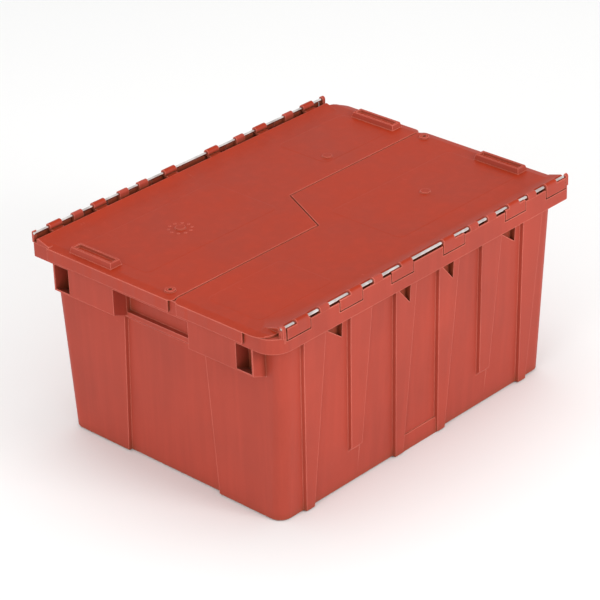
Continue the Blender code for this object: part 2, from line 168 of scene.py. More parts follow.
# Driving dimensions of the tub
BASE_HALF_LENGTH = 0.3213
BASE_HALF_WIDTH = 0.2360
TOP_HALF_LENGTH = 0.3240
TOP_HALF_WIDTH = 0.2560
DRAFT_HEIGHT = 0.3060
TUB_TOP = 0.3390
WALL = 0.0030
FLOOR = 0.0035
TUB_CORNER = 0.022
BASE_CHAMFER = 0.002

# Pilasters on the long walls
PILASTER_CENTRES = (-0.2610, -0.1565, -0.0515, 0.0515, 0.1565, 0.2610)
SHORT_PILASTERS = (-0.1565, 0.1565)
PILASTER_TOP_WIDTH = 0.049
PILASTER_BASE_WIDTH = 0.018
PILASTER_DEPTH = 0.0065
PILASTER_FLANK = 0.0016
SHORT_PILASTER_FOOT = 0.062
PILASTER_FADE = 0.007
PILASTER_TOP = 0.3160

# Recessed field in the middle of each end wall
FIELD_TOP = 0.249
FIELD_TOP_HALF = 0.087
FIELD_BASE_HALF = 0.101
FIELD_DEPTH = 0.006
FIELD_FLANK = 0.002

# Foot pad between the two middle pilasters
FOOT_HALF_LENGTH = 0.043
FOOT_DEPTH = 0.0040
FOOT_HEIGHT = 0.030

# Rim band round the top; along the hinges its skin stands up as a lip under the rod
BAND_HALF_LENGTH = 0.3510
BAND_HALF_WIDTH = 0.2650
BAND_FOOT = 0.3140
RIM_TOP = 0.3400
LIP_TOP = 0.3505
LIP_START = -0.3315
LIP_RETURN = 0.2600
ROUND_CORNER = 0.035
SQUARE_CORNER = 0.006
RIM_INNER_LENGTH = 0.3195
RIM_INNER_WIDTH = 0.2535

# Hand-holds: proud boxes on each side of a finger slot under the rim, then a pocket and a fin
HOLD_FRONT_FOOT = 0.2680
HOLD_BACK_FOOT = 0.2565
HOLD_BOX_INNER = 0.082
HOLD_BOX_OUTER = 0.184
HOLD_FIN = 0.219
HOLD_SKIN = 0.0030
HOLD_ROOT = 0.3222
SLOT_DEPTH = 0.0080
SLOT_HALF = 0.0815
SLOT_FOOT = 0.2620
SLOT_RISE = 0.0030
SLOT_TOP = 0.3335
SLOT_START = 0.0035
WELL_OVERRUN = 0.0010

# Triangular pockets under the band: centre, width
POCKETS = ((-0.2140, 0.042), (-0.0560, 0.027), (0.0480, 0.027), (0.2025, 0.042))
POCKET_TOP = 0.3135
POCKET_DROP = 0.031
POCKET_DEPTH = 0.011
POCKET_SKIN = 0.0025
POCKET_LAP = 0.0022
POCKET_OVERRUN = 0.0060

# Hinges
AXIS_Y = 0.2600
AXIS_Z = 0.3545
ROD_RADIUS = 0.0024
ROD_START = -0.3305
ROD_END = 0.3500
POST_RADIUS = 0.0048
POST_BORE = 0.0027
POST_WIDTH = 0.020
END_POST_INSIDE = 0.0060
END_POST_OUTSIDE = 0.0005
POSTS = (-0.2390, -0.1180, 0.1110, 0.1550, 0.2570)
BARREL_RADIUS = 0.0056
BARREL_BORE = 0.0028
BARREL_WIDTH = 0.026
BRIDGE_INSET = 0.001
BRIDGE_ROOT = 0.004
BRIDGE_FOOT = 0.3465
BRIDGE_TOP = 0.3502
STRAP_WIDTH = 0.050
# Strap centre and barrel centre along the front rod
STRAPS = ((-0.2970, -0.2880), (-0.1810, -0.1690), (-0.0630, -0.0520),
          (0.0600, 0.0490), (0.2130, 0.2100), (0.3175, 0.3060))
FLAP_INNER = 0.0026
FLAP_DROP = 0.0185
FLAP_LAP = 0.0005
SWING_RADIUS = 0.0214
SWING_SIDE_GAP = 0.0016
SEAT_INSET = 0.0010
FLAP_END = 0.3430

# Lid leaf
LEAF_TOP = 0.3440
LEAF_FOOT = 0.3405
LEAF_HALF_LENGTH = 0.3555
LEAF_SHOULDER = 0.3455
LEAF_SHOULDER_FOOT = 0.3412
SHOULDER_SQUEEZE = 0.12
LEAF_EDGE = 0.2500
SEAM_OFFSET = 0.0545
SEAM_HALF_RUN = 0.0255
SEAM_HALF_GAP = 0.0010
SEAM_CORNER = 0.012
LEAF_ROUND_CORNER = 0.030
LEAF_NOTCH_Y = 0.2260
LEAF_NOTCH_X = 0.3540
CROWN_INNER = 0.2220
CROWN_RIDGE = 0.2470
CROWN_TOP = 0.3510
CROWN_OUTER_TOP = 0.3495
LEAF_LAP = 0.0004
SKIRT_FOOT = 0.3205
SKIRT = 0.0032
SKIRT_SEAM_GAP = 0.009
SKIRT_ROUND_END = 0.2030

# Details moulded on the leaf: lug frames, eyelet and buttons
LUG_X = 0.3320
LUG_Y = 0.1370
LUG_LENGTH = 0.094
LUG_WIDTH = 0.024
LUG_WALL = 0.0050
LUG_DRAFT = 0.0020
LUG_HEIGHT = 0.0090
LUG_WELL = 0.0045
EYELET = (0.3340, 0.0310)
EYELET_RADIUS = 0.0085
EYELET_BORE = 0.0035
EYELET_HEIGHT = 0.0028
BUTTON_X = 0.1740
BUTTON_Y = 0.1080
BUTTON_RADIUS = 0.0085
BUTTON_HEIGHT = 0.0026

# Length by which a cutter runs past what it cuts
CUT_CLEAR = 0.010

# Points on the arcs and round bodies
ARC_STEPS = 10
DISC_STEPS = 24
DOT_STEPS = 12
EYELET_BORE_STEPS = 16
POST_HEAD_STEPS = 8
BORE_STEPS = 16
BARREL_STEPS = 24
SWING_STEPS = 32
ROD_STEPS = 32

# Colour sockets of the Mix node, which has others of the same name
MIX_FIRST = 6
MIX_SECOND = 7
MIX_RESULT = 2

HALF_TURN = Matrix.Diagonal((-1.0, -1.0, 1.0, 1.0))
NO_TURN = Matrix.Identity(4)


# Node helpers

def add(tree, kind, **settings):
    """A node with settings; a value for an input socket is given as its name and the value."""
    node = tree.nodes.new(kind)
    for key, value in settings.items():
        if key in node.inputs.keys():
            node.inputs[key].default_value = value
        else:
            setattr(node, key, value)
    return node


def link(tree, source, output, target, socket):
    tree.links.new(source.outputs[output], target.inputs[socket])


def noise(tree, coordinates, scale, detail=2.0, roughness=0.5, stretch=(1.0, 1.0, 1.0)):
    mapping = add(tree, "ShaderNodeMapping", Scale=stretch)
    tree.links.new(coordinates, mapping.inputs["Vector"])
    texture = add(tree, "ShaderNodeTexNoise", Scale=scale, Detail=detail, Roughness=roughness)
    link(tree, mapping, "Vector", texture, "Vector")
    return texture.outputs["Fac"]


def remap(tree, value, low, high, to_low, to_high):
    node = add(tree, "ShaderNodeMapRange", clamp=True)
    node.inputs["From Min"].default_value = low
    node.inputs["From Max"].default_value = high
    node.inputs["To Min"].default_value = to_low
    node.inputs["To Max"].default_value = to_high
    tree.links.new(value, node.inputs["Value"])
    return node.outputs["Result"]


def mix_colour(tree, factor, first, second):
    node = add(tree, "ShaderNodeMix", data_type="RGBA", blend_type="MIX")
    tree.links.new(factor, node.inputs["Factor"])
    for value, index in ((first, MIX_FIRST), (second, MIX_SECOND)):
        if isinstance(value, tuple):
            node.inputs[index].default_value = (*value, 1.0)
        else:
            tree.links.new(value, node.inputs[index])
    return node.outputs[MIX_RESULT]


def tint(tree, colour, light):
    """One colour multiplied by another."""
    node = add(tree, "ShaderNodeMix", data_type="RGBA", blend_type="MULTIPLY")
    node.inputs["Factor"].default_value = 1.0
    tree.links.new(colour, node.inputs[MIX_FIRST])
    tree.links.new(light, node.inputs[MIX_SECOND])
    return node.outputs[MIX_RESULT]


def math_node(tree, operation, first, second):
    node = add(tree, "ShaderNodeMath", operation=operation, use_clamp=False)
    for value, index in ((first, 0), (second, 1)):
        if isinstance(value, (int, float)):
            node.inputs[index].default_value = value
        else:
            tree.links.new(value, node.inputs[index])
    return node.outputs[0]


def shade(colour, factor):
    return tuple(min(1.0, channel * factor) for channel in colour)


def edge_mask(tree, radius):
    """1 on rounded edges, 0 on open faces."""
    geometry = add(tree, "ShaderNodeNewGeometry")
    bevel = add(tree, "ShaderNodeBevel", samples=4, Radius=radius)
    dot = add(tree, "ShaderNodeVectorMath", operation="DOT_PRODUCT")
    link(tree, geometry, "Normal", dot, 0)
    link(tree, bevel, "Normal", dot, 1)
    return remap(tree, dot.outputs["Value"], 0.995, 0.90, 0.0, 1.0)


def moulded_plastic(name, colour, side_colour, grain, gloss):
    """Coloured polyethylene: mottling, draw marks, grain and scuffs, with painted shade that makes the lid's
    top darker than its sides, painted highlights on edges and brown painted shade in recesses.
    """
    material = bpy.data.materials.new(name)
    material.use_nodes = True
    tree = material.node_tree
    shader = tree.nodes["Principled BSDF"]
    place = add(tree, "ShaderNodeTexCoord").outputs["Object"]
    clouds = noise(tree, place, MOTTLE_SCALE, 4.0, 0.55)
    streaks = noise(tree, place, STREAK_SCALE, 3.0, 0.6, STREAK_STRETCH)
    fine = noise(tree, place, GRAIN_SCALE, 3.0, 0.6)
    scuff = noise(tree, place, SCUFF_SCALE, 5.0, 0.7, SCUFF_STRETCH)
    where = noise(tree, place, SCUFF_PATCH_SCALE, 2.0, 0.5)
    edges = edge_mask(tree, EDGE_REACH)

    up = add(tree, "ShaderNodeSeparateXYZ")
    tree.links.new(add(tree, "ShaderNodeTexCoord").outputs["Normal"], up.inputs["Vector"])
    # Painted shade by facing: up-facing faces take the first colour and upright ones side_colour; on the lid
    # this paints the top darker than its sides
    facing_shade_tone = mix_colour(tree, remap(tree, up.outputs["Z"], 0.35, 0.85, 0.0, 1.0), side_colour, colour)
    light = mix_colour(tree, remap(tree, clouds, 0.35, 0.68, 0.0, 0.75), MOTTLE_DARK, MOTTLE_PALE)
    tone = tint(tree, facing_shade_tone, light)
    tone = mix_colour(tree, remap(tree, streaks, 0.45, 0.75, 0.0, 0.35), tone, shade(colour, STREAK_GAIN))
    marks = math_node(tree, "MULTIPLY", remap(tree, scuff, 0.62, 0.72, 0.0, 0.5),
                      remap(tree, where, 0.52, 0.66, 0.0, 1.0))
    tone = mix_colour(tree, marks, tone, SCUFF_PINK)
    # Painted highlight: rounded edges, convex and concave alike, turn pale pink, mottled by the clouds noise
    painted_edge_highlight = math_node(tree, "MULTIPLY", edges, remap(tree, clouds, 0.3, 0.7, 0.45, 0.85))
    tone = mix_colour(tree, painted_edge_highlight, tone, EDGE_HIGHLIGHT_PINK)
    # Painted shade: the colour turns brown where ambient occlusion finds the surface hemmed in, standing in
    # for shadow in recesses
    painted_shade_ao = add(tree, "ShaderNodeAmbientOcclusion", samples=6, Distance=PAINTED_SHADE_REACH)
    tone = mix_colour(tree, remap(tree, painted_shade_ao.outputs["AO"], 0.22, 0.70, 0.9, 0.0), tone, PAINTED_SHADE_BROWN)
    tree.links.new(tone, shader.inputs["Base Color"])

    rough = remap(tree, clouds, 0.3, 0.7, gloss - 0.05, gloss + 0.07)
    rough = math_node(tree, "ADD", rough, math_node(tree, "MULTIPLY", marks, SCUFF_ROUGHNESS))
    tree.links.new(rough, shader.inputs["Roughness"])

    height = math_node(tree, "ADD", math_node(tree, "MULTIPLY", fine, grain),
                       math_node(tree, "MULTIPLY", streaks, STREAK_RELIEF))
    bump = add(tree, "ShaderNodeBump", Strength=PLASTIC_BUMP, Distance=PLASTIC_BUMP_DEPTH)
    tree.links.new(height, bump.inputs["Height"])
    link(tree, bump, "Normal", shader, "Normal")
    shader.inputs["IOR"].default_value = PLASTIC_IOR
    shader.inputs["Sheen Weight"].default_value = PLASTIC_SHEEN
    shader.inputs["Sheen Roughness"].default_value = PLASTIC_SHEEN_ROUGHNESS
    shader.inputs["Specular IOR Level"].default_value = PLASTIC_SPECULAR
    return material


def drawn_steel(name):
    """Galvanised hinge wire with fine draw lines and darker worn stretches."""
    material = bpy.data.materials.new(name)
    material.use_nodes = True
    tree = material.node_tree
    shader = tree.nodes["Principled BSDF"]
    place = add(tree, "ShaderNodeTexCoord").outputs["Object"]
    lines = noise(tree, place, WIRE_LINE_SCALE, 3.0, 0.6, WIRE_STRETCH)
    patches = noise(tree, place, WIRE_PATCH_SCALE, 3.0, 0.6)
    tone = mix_colour(tree, remap(tree, patches, 0.4, 0.65, 0.0, 1.0), WIRE_DARK, WIRE_PALE)
    tree.links.new(tone, shader.inputs["Base Color"])
    tree.links.new(remap(tree, lines, 0.3, 0.7, 0.12, 0.24), shader.inputs["Roughness"])
    bump = add(tree, "ShaderNodeBump", Strength=WIRE_BUMP, Distance=WIRE_BUMP_DEPTH)
    tree.links.new(lines, bump.inputs["Height"])
    link(tree, bump, "Normal", shader, "Normal")
    shader.inputs["Metallic"].default_value = 1.0
    return material


# Building helpers

def mesh_object(name, bm, collection):
    """An object from a bmesh made in the frame's coordinates."""
    bmesh.ops.recalc_face_normals(bm, faces=bm.faces)
    mesh = bpy.data.meshes.new(name)
    bm.to_mesh(mesh)
    bm.free()
    obj = bpy.data.objects.new(name, mesh)
    collection.objects.link(obj)
    return obj


def helper_collection(name):
    collection = bpy.data.collections.new(name)
    bpy.context.scene.collection.children.link(collection)
    return collection


def round_edges(obj, width):
    bevel = obj.modifiers.new("round edges", "BEVEL")
    bevel.width = width
    bevel.segments = BEVEL_SEGMENTS
    bevel.limit_method = "ANGLE"
    bevel.angle_limit = BEVEL_ANGLE


def helper(name, bm, collection, turn=NO_TURN):
    """A plain shape that a Boolean joins or cuts; it is removed once the piece is made."""
    bm.transform(turn)
    obj = mesh_object(name, bm, collection)
    if name not in LEFT_SHARP:
        round_edges(obj, EDGE)
    return obj


def bake(obj):
    """Replaces an object's mesh with what its modifiers make of it."""
    bpy.context.view_layer.update()
    result = bpy.data.meshes.new_from_object(obj.evaluated_get(bpy.context.evaluated_depsgraph_get()))
    obj.modifiers.clear()
    obj.data = result


def finish_piece(obj, material, body, node):
    """Smooth shading with flat faces kept flat, then the piece takes its node's place."""
    weld = obj.modifiers.new("weld", "WELD")
    weld.merge_threshold = WELD_GAP
    bake(obj)
    obj.data.shade_smooth()
    obj.data.set_sharp_from_angle(angle=SMOOTH_ANGLE)
    normals = obj.modifiers.new("even shading", "WEIGHTED_NORMAL")
    normals.weight = NORMAL_WEIGHT
    normals.keep_sharp = True
    obj.data.materials.clear()
    obj.data.materials.append(material)
    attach(obj, body)
    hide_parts(node)


def combine(obj, joined, cut):
    """Joins and cuts the helper shapes, then removes them."""
    for name, operation, collection in (("joined", "UNION", joined), ("cut", "DIFFERENCE", cut)):
        modifier = obj.modifiers.new(name, "BOOLEAN")
        modifier.operation = operation
        modifier.operand_type = "COLLECTION"
        modifier.collection = collection
        modifier.solver = "EXACT"
    bake(obj)
    for collection in (joined, cut):
        for shape in list(collection.objects):
            bpy.data.objects.remove(shape, do_unlink=True)
        bpy.data.collections.remove(collection)


# Mesh builders

def loft(rings, closed=False):
    """A skin through rings of equally many points; its ends are capped unless it closes on itself."""
    bm = bmesh.new()
    rows = [[bm.verts.new(point) for point in ring] for ring in rings]
    pairs = list(zip(rows, rows[1:]))
    if closed:
        pairs.append((rows[-1], rows[0]))
    for low, high in pairs:
        for i in range(len(low)):
            j = (i + 1) % len(low)
            bm.faces.new((low[i], low[j], high[j], high[i]))
    if not closed:
        bm.faces.new(list(reversed(rows[0])))
        bm.faces.new(rows[-1])
    return bm


def prism_z(outline, low, high):
    return loft([[(x, y, z) for x, y in outline] for z in (low, high)])


def prism_x(outline, start, end):
    """An outline of (y, z) points swept along X."""
    return loft([[(x, y, z) for y, z in outline] for x in (start, end)])


def block(x0, x1, y0, y1, z0, z1):
    return prism_z([(x0, y0), (x1, y0), (x1, y1), (x0, y1)], z0, z1)


def arc(cx, cy, radius, start, end, steps=ARC_STEPS):
    """Points on an arc, with the angles in degrees."""
    points = []
    for i in range(steps + 1):
        angle = math.radians(start + (end - start) * i / steps)
        points.append((cx + radius * math.cos(angle), cy + radius * math.sin(angle)))
    return points


def disc(cx, cy, radius, steps=DISC_STEPS):
    return arc(cx, cy, radius, 0, 360 * (steps - 1) / steps, steps - 1)


def rounded_box(half_x, half_y, round_radius, square_radius):
    """A rectangle whose (-,-) and (+,+) corners have one radius and the others another."""
    points = []
    corners = ((1, -1, -90, square_radius), (1, 1, 0, round_radius),
               (-1, 1, 90, square_radius), (-1, -1, 180, round_radius))
    for sx, sy, start, radius in corners:
        points += arc(sx * (half_x - radius), sy * (half_y - radius), radius, start, start + 90)
    return points


def inset_outline(points, distance):
    """The outline moved inward by a distance, with mitred corners; it runs anticlockwise."""
    moved = []
    for i, here in enumerate(points):
        before = Vector(here) - Vector(points[i - 1])
        after = Vector(points[(i + 1) % len(points)]) - Vector(here)
        first = Vector((-before.y, before.x)).normalized()
        second = Vector((-after.y, after.x)).normalized()
        mitre = (first + second).normalized()
        moved.append(tuple(Vector(here) + mitre * distance / max(MITRE_LIMIT, mitre.dot(first))))
    return moved


def at_height(points, z):
    return [(x, y, z) for x, y in points]


# Tub

def blend(low, high, share):
    return low + (high - low) * share


def rounded_step(x, y, depth, falling, outer):
    """Three points that round one corner of a pilaster's section.

    Falling means that the flank lies at lower X, and outer that the corner stands proud of the wall.
    """
    lead = PILASTER_ROUND
    drop = min(lead, depth / 2)
    side = PILASTER_FLANK * drop / depth if depth else lead / 2
    dip = drop * (1 if outer else -1)
    part = PILASTER_SHARE
    if falling:
        return [(x - side, y + dip), (x - side / part + lead / part, y + dip / part), (x + lead, y)]
    return [(x - lead, y), (x + side / part - lead / part, y + dip / part), (x + side, y + dip)]


def tub_outline(z, inset, pilaster_depth, short_depth, field_depth):
    """The tub's section at one height, going round anticlockwise from the front wall."""
    share = z / DRAFT_HEIGHT
    half_x = blend(BASE_HALF_LENGTH, TOP_HALF_LENGTH, share) - inset
    half_y = blend(BASE_HALF_WIDTH, TOP_HALF_WIDTH, share) - inset
    width = blend(PILASTER_BASE_WIDTH, PILASTER_TOP_WIDTH, min(share, 1.0)) / 2 - inset
    field = blend(FIELD_BASE_HALF, FIELD_TOP_HALF, min(z / FIELD_TOP, 1.0)) + inset
    half = []
    for centre in PILASTER_CENTRES:
        depth = short_depth if centre in SHORT_PILASTERS else pilaster_depth
        flank = PILASTER_FLANK
        for x, y in ((-width - flank, 0.0), (-width, depth), (width, depth), (width + flank, 0.0)):
            half += rounded_step(centre + x, -half_y - y, depth, (x > 0) != (y > 0), y > 0)
    radius = TUB_CORNER - inset
    half += arc(half_x - radius, radius - half_y, radius, -90, 0)
    half.append((half_x, -field - FIELD_FLANK))
    half.append((half_x - field_depth, -field))
    half.append((half_x - field_depth, field))
    half.append((half_x, field + FIELD_FLANK))
    half += arc(half_x - radius, half_y - radius, radius, 0, 90)
    # The back wall and the left end are the same outline turned half a turn.
    return half + [(-x, -y) for x, y in half]


def tub():
    """Outer skin from the base up to the rim, then the inner skin back down to the floor."""
    depth = PILASTER_DEPTH
    fade = PILASTER_FADE
    field = FIELD_DEPTH
    levels = (
        (BASE_CHAMFER, depth, 0.0, field),
        (SHORT_PILASTER_FOOT, depth, 0.0, field),
        (SHORT_PILASTER_FOOT + fade, depth, depth, field),
        (FIELD_TOP, depth, depth, field),
        (FIELD_TOP + fade, depth, depth, 0.0),
        (PILASTER_TOP, depth, depth, 0.0),
        (PILASTER_TOP + fade, 0.0, 0.0, 0.0),
        (TUB_TOP, 0.0, 0.0, 0.0),
    )
    rings = [at_height(tub_outline(BASE_CHAMFER, BASE_CHAMFER, depth, 0.0, field), 0.0)]
    rings += [at_height(tub_outline(z, 0.0, d, s, f), z) for z, d, s, f in levels]
    inner = [at_height(tub_outline(z, WALL, d, s, f), z) for z, d, s, f in levels[1:]]
    rings += list(reversed(inner))
    rings.append(at_height(tub_outline(FLOOR, WALL, depth, 0.0, field), FLOOR))
    return loft(rings)


# Body additions and cuts

def foot_pad():
    face = -BASE_HALF_WIDTH - FOOT_DEPTH
    return block(-FOOT_HALF_LENGTH, FOOT_HALF_LENGTH, face, face + FOOT_DEPTH + WALL / 2, 0.0, FOOT_HEIGHT)


def band():
    """The rim: an outer skin with a lip, and a top plate that reaches in over the tub's wall."""
    def at_inset(inset):
        return rounded_box(BAND_HALF_LENGTH - inset, BAND_HALF_WIDTH - inset,
                           ROUND_CORNER - inset, SQUARE_CORNER - inset)

    inner = rounded_box(RIM_INNER_LENGTH, RIM_INNER_WIDTH, TUB_CORNER, TUB_CORNER)
    plate = RIM_TOP - WALL
    soft = BAND_ROUND
    middle = soft * MIDDLE_SHARE
    profile = ((at_inset(soft), BAND_FOOT), (at_inset(middle), BAND_FOOT + middle),
               (at_inset(0.0), BAND_FOOT + soft), (at_inset(0.0), LIP_TOP - soft),
               (at_inset(middle), LIP_TOP - middle), (at_inset(soft), LIP_TOP),
               (at_inset(WALL - soft), LIP_TOP), (at_inset(WALL), LIP_TOP - soft), (at_inset(WALL), RIM_TOP),
               (inner, RIM_TOP), (inner, plate), (at_inset(WALL), plate), (at_inset(WALL), BAND_FOOT))
    return loft([at_height(points, z) for points, z in profile], closed=True)


def end_room():
    """What the lip leaves free at one end, so that the lid's skirt can close over the rim."""
    return block(-BAND_HALF_LENGTH - CUT_CLEAR, LIP_START, -BAND_HALF_WIDTH - CUT_CLEAR, LIP_RETURN,
                 RIM_TOP, LIP_TOP + CUT_CLEAR)


def slanted(front, root, front_foot, back_foot, top, y0, y1):
    """A block on an end wall whose underside slopes from its front down to the wall."""
    outline = [(front, top), (front, front_foot), (root, back_foot), (root, top)]
    return loft([[(x, y, z) for x, z in outline] for y in (y0, y1)])


def add_hand_hold(joined, cut, turn):
    """Hand-hold of the end at -X."""
    front = -BAND_HALF_LENGTH
    root = -HOLD_ROOT
    slope = (HOLD_FRONT_FOOT - HOLD_BACK_FOOT) / (root - front)
    skin = HOLD_SKIN * math.hypot(1.0, slope)
    top = RIM_TOP - WALL / 2
    well_end = -RIM_INNER_LENGTH + WELL_OVERRUN
    for side in (-1, 1):
        y0, y1 = sorted((side * HOLD_BOX_INNER, side * HOLD_BOX_OUTER))
        box = slanted(front, root, HOLD_FRONT_FOOT, HOLD_BACK_FOOT, top, y0, y1)
        helper("hold_box", box, joined, turn)
        well = slanted(front + HOLD_SKIN, well_end, HOLD_FRONT_FOOT + skin - slope * HOLD_SKIN,
                       HOLD_FRONT_FOOT + skin - slope * (well_end - front), LIP_TOP + CUT_CLEAR,
                       y0 + HOLD_SKIN, y1 - HOLD_SKIN)
        helper("hold_well", well, cut, turn)
        y0, y1 = sorted((side * (HOLD_BOX_OUTER - HOLD_SKIN / 2), side * HOLD_FIN))
        floor = [(front, HOLD_FRONT_FOOT + skin), (front, HOLD_FRONT_FOOT),
                 (root, HOLD_BACK_FOOT), (root, HOLD_BACK_FOOT + skin)]
        helper("pocket_floor", loft([[(x, y, z) for x, z in floor] for y in (y0, y1)]), joined, turn)
        y0, y1 = sorted((side * (HOLD_FIN - HOLD_SKIN), side * HOLD_FIN))
        fin = slanted(front, root, HOLD_FRONT_FOOT, HOLD_BACK_FOOT, top, y0, y1)
        helper("fin", fin, joined, turn)
    back = -TOP_HALF_LENGTH + SLOT_DEPTH
    housing = block(root, back + WALL, -SLOT_HALF - WALL, SLOT_HALF + WALL, SLOT_FOOT - WALL, top)
    helper("slot_housing", housing, joined, turn)
    slot = slanted(front + SLOT_START, back, SLOT_FOOT, SLOT_FOOT + SLOT_RISE, SLOT_TOP,
                   -SLOT_HALF, SLOT_HALF)
    helper("slot", slot, cut, turn)


def plain_wall(z):
    """Y of the front wall's plain face at this height."""
    return -blend(BASE_HALF_WIDTH, TOP_HALF_WIDTH, z / DRAFT_HEIGHT)


def add_pockets(joined, cut, turn):
    """Triangular pockets under the band, with a housing behind each so the wall stays closed."""
    face = -BAND_HALF_WIDTH - CUT_CLEAR
    for centre, width in POCKETS:
        on_pilaster = any(abs(centre - c) < PILASTER_TOP_WIDTH / 2 for c in PILASTER_CENTRES)
        outside = plain_wall(POCKET_TOP) - (PILASTER_DEPTH if on_pilaster else 0.0)
        floor = outside + POCKET_DEPTH
        side = width / 2 + POCKET_SKIN
        low = POCKET_TOP - POCKET_DROP - POCKET_SKIN * 2
        housing = block(centre - side, centre + side, outside + POCKET_LAP, floor + POCKET_SKIN,
                        low, POCKET_TOP + POCKET_OVERRUN)
        helper("pocket_housing", housing, joined, turn)
        x0 = centre - width / 2
        x1 = centre + width / 2
        ring = [(x0, POCKET_TOP), (x1, POCKET_TOP - POCKET_DROP), (x1, POCKET_TOP)]
        rows = [[(x, y, z) for x, z in ring] for y in (face, floor)]
        helper("pocket", loft(rows), cut, turn)


def hinge_post(start, end):
    """An upright on the rim, behind the lip, with a round head about the hinge axis (front side)."""
    head = arc(-AXIS_Y, AXIS_Z, POST_RADIUS, 0, 180, POST_HEAD_STEPS)
    outline = [(-AXIS_Y - POST_RADIUS, RIM_TOP - WALL / 2), (-AXIS_Y + POST_RADIUS, RIM_TOP - WALL / 2)]
    return prism_x(outline + head, start, end)


def rod_cylinder(radius, start, end, steps=BORE_STEPS):
    return prism_x(disc(-AXIS_Y, AXIS_Z, radius, steps), start, end)


def add_hinge_side(joined, cut, turn):
    for centre in POSTS:
        post = hinge_post(centre - POST_WIDTH / 2, centre + POST_WIDTH / 2)
        helper("hinge_post", post, joined, turn)
    helper("end_post", hinge_post(ROD_START - END_POST_OUTSIDE, ROD_START + END_POST_INSIDE), joined, turn)
    helper("end_post", hinge_post(ROD_END - END_POST_INSIDE, ROD_END + END_POST_OUTSIDE), joined, turn)
    helper("rod_bore", rod_cylinder(POST_BORE, ROD_START - CUT_CLEAR, ROD_END + CUT_CLEAR), cut, turn)
    for centre, _ in STRAPS:
        half = STRAP_WIDTH / 2 + SWING_SIDE_GAP
        end = min(centre + half, ROD_END - END_POST_INSIDE)
        seat = block(centre - half - WALL, end + WALL, -BAND_HALF_WIDTH + SEAT_INSET,
                     -TOP_HALF_WIDTH, AXIS_Z - SWING_RADIUS - WALL, RIM_TOP - SEAT_INSET)
        helper("strap_seat", seat, joined, turn)
        helper("swing_room", rod_cylinder(SWING_RADIUS, centre - half, end, SWING_STEPS), cut, turn)


def tote_body(material):
    joined = helper_collection("body_joined")
    cut = helper_collection("body_cut")
    helper("band", band(), joined)
    for turn in (NO_TURN, HALF_TURN):
        helper("end_room", end_room(), cut, turn)
        helper("foot_pad", foot_pad(), joined, turn)
        add_hand_hold(joined, cut, turn)
        add_pockets(joined, cut, turn)
        add_hinge_side(joined, cut, turn)
    body = mesh_object("body_moulding", tub(), bpy.context.scene.collection)
    combine(body, joined, cut)
    finish_piece(body, material, "tub", "tote_body")


# Lid leaves (drawn on the front side, turned for the back)

def leaf_outline():
    slant = math.hypot(SEAM_HALF_RUN, SEAM_OFFSET)
    shift = SEAM_HALF_GAP * (slant - SEAM_HALF_RUN) / SEAM_OFFSET
    far = SEAM_OFFSET - SEAM_HALF_GAP
    near = -SEAM_OFFSET - SEAM_HALF_GAP
    end = LEAF_HALF_LENGTH
    corner = LEAF_ROUND_CORNER
    points = arc(corner - end, corner - LEAF_EDGE, corner, 180, 270)
    points += [(LEAF_NOTCH_X, -LEAF_EDGE), (LEAF_NOTCH_X, -LEAF_NOTCH_Y), (end, -LEAF_NOTCH_Y)]
    points += arc(end - SEAM_CORNER, far - SEAM_CORNER, SEAM_CORNER, 0, 90)
    points += [(SEAM_HALF_RUN + shift, far), (shift - SEAM_HALF_RUN, near)]
    points += arc(SEAM_CORNER - end, near - SEAM_CORNER, SEAM_CORNER, 90, 180)
    return points


def shoulder(x, start):
    """Where a point of the leaf's outline stands on a ring that is drawn in beyond X start."""
    beyond = max(0.0, abs(x) - start)
    return math.copysign(abs(x) - beyond * (1 - SHOULDER_SQUEEZE), x)


def leaf_plate():
    """The flat plate, with its top sloping down to a thin lip at both ends."""
    edge = leaf_outline()
    rings = [at_height(edge, LEAF_FOOT), at_height(edge, LEAF_SHOULDER_FOOT)]
    for share, run in ((0.0, 0.0), (MIDDLE_SHARE, SHOULDER_RUN / 2), (1.0, SHOULDER_RUN)):
        ring = inset_outline(edge, PLATE_ROUND * share)
        drop = PLATE_ROUND * (1.0 - math.sqrt(1.0 - (1.0 - share) ** 2))
        rings.append([(shoulder(x, LEAF_SHOULDER - run), y, LEAF_TOP - drop) for x, y in ring])
    return loft(rings)


def add_leaf_shell(joined, turn):
    """End skirts and the raised crown along the hinge."""
    end = LEAF_HALF_LENGTH
    low = -SEAM_OFFSET - SKIRT_SEAM_GAP
    high = SEAM_OFFSET - SKIRT_SEAM_GAP
    top = LEAF_SHOULDER_FOOT - LEAF_LAP
    near = block(-end, SKIRT - end, -SKIRT_ROUND_END, low, SKIRT_FOOT, top)
    helper("skirt_near", near, joined, turn)
    far = block(end - SKIRT, end, -LEAF_NOTCH_Y, high, SKIRT_FOOT, top)
    helper("skirt_far", far, joined, turn)
    crown = [(-LEAF_EDGE, LEAF_FOOT + LEAF_LAP), (-CROWN_INNER, LEAF_FOOT + LEAF_LAP),
             (-CROWN_INNER, LEAF_TOP - LEAF_LAP), (-CROWN_RIDGE, CROWN_TOP), (-LEAF_EDGE, CROWN_OUTER_TOP)]
    helper("crown", prism_x(crown, LEAF_ROUND_CORNER - end, LEAF_NOTCH_X), joined, turn)


